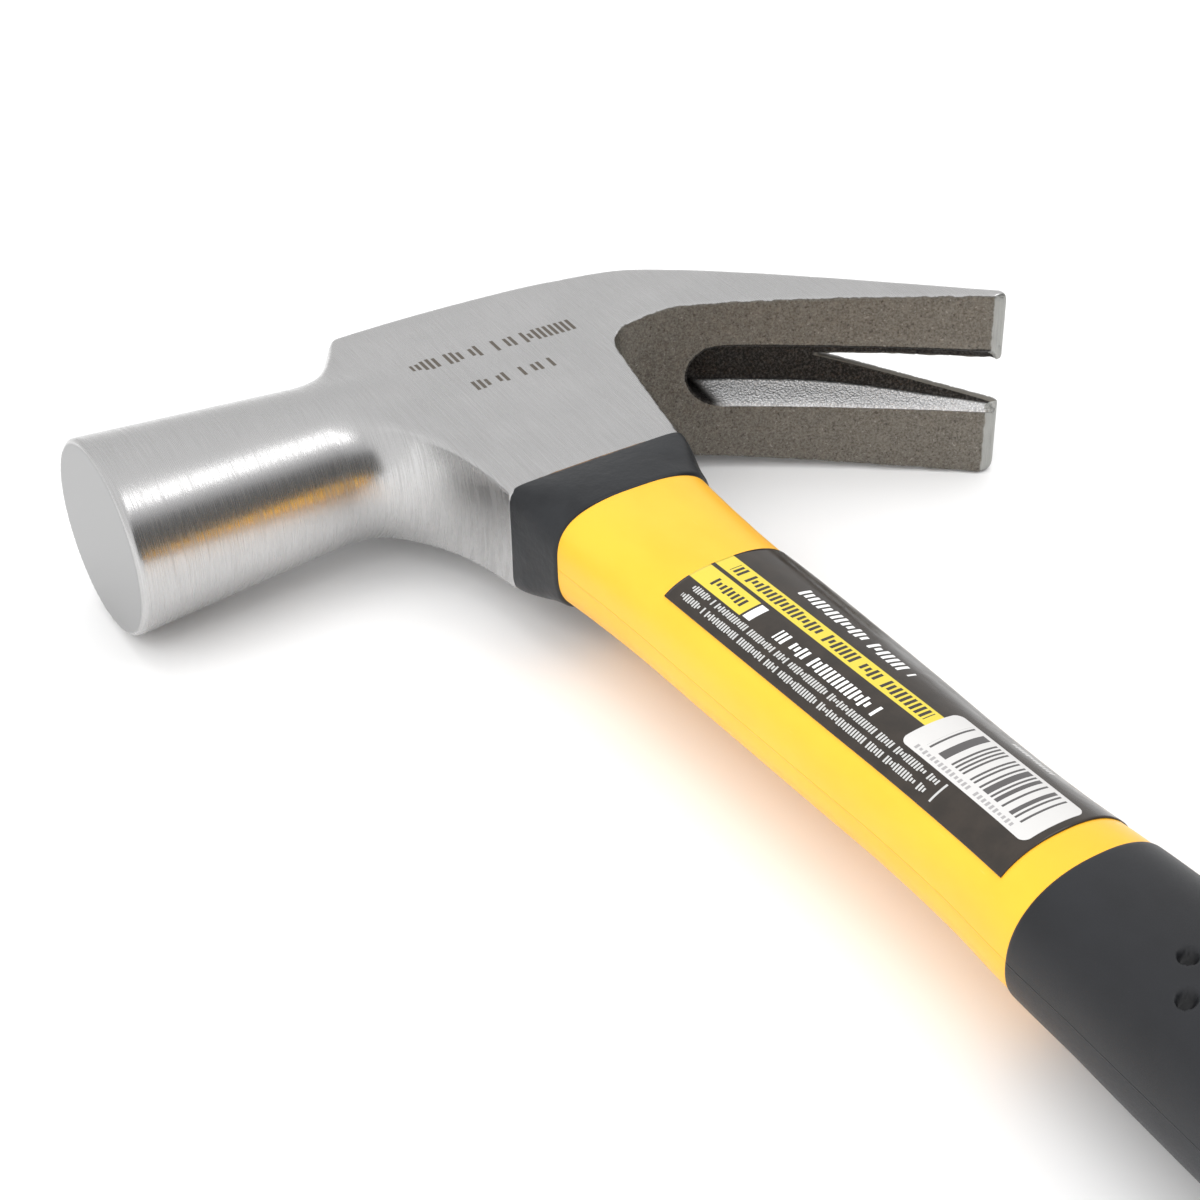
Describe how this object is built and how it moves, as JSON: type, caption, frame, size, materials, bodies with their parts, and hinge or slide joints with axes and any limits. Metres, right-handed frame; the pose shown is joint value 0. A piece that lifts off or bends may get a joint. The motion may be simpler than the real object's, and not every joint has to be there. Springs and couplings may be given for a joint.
{
  "type": "claw hammer",
  "caption": "Claw hammer lying on its side: forged steel head with round poll and split claws, moulded handle with black collar, rubber grip and a plain printed label.",
  "frame": {"origin": "under the middle of the bounding box, on the surface that the hammer lies on", "axes": "+X from the striking face to the claws, +Y up the handle to the head, +Z through the thickness"},
  "size_m": [0.132, 0.33, 0.0313],
  "materials": {
    "head_steel": "satin, brushed on the poll and cheeks, raw forged on the hollow side of the claws",
    "resin": "cast, semi-gloss brown",
    "fibreglass": "pultruded, cut ends matte",
    "jacket_plastic": "moulded, satin gloss",
    "collar_plastic": "moulded, satin",
    "grip_rubber": "moulded, fine matte",
    "label_film": "printed film, glossy"
  },
  "bodies": {
    "root": {"claw_head": "head_steel", "eye_resin": "resin", "fibreglass_core": "fibreglass", "handle_jacket": "jacket_plastic", "neck_collar": "collar_plastic", "grip_sleeve": "grip_rubber", "label": "label_film"}
  },
  "joints": []
}
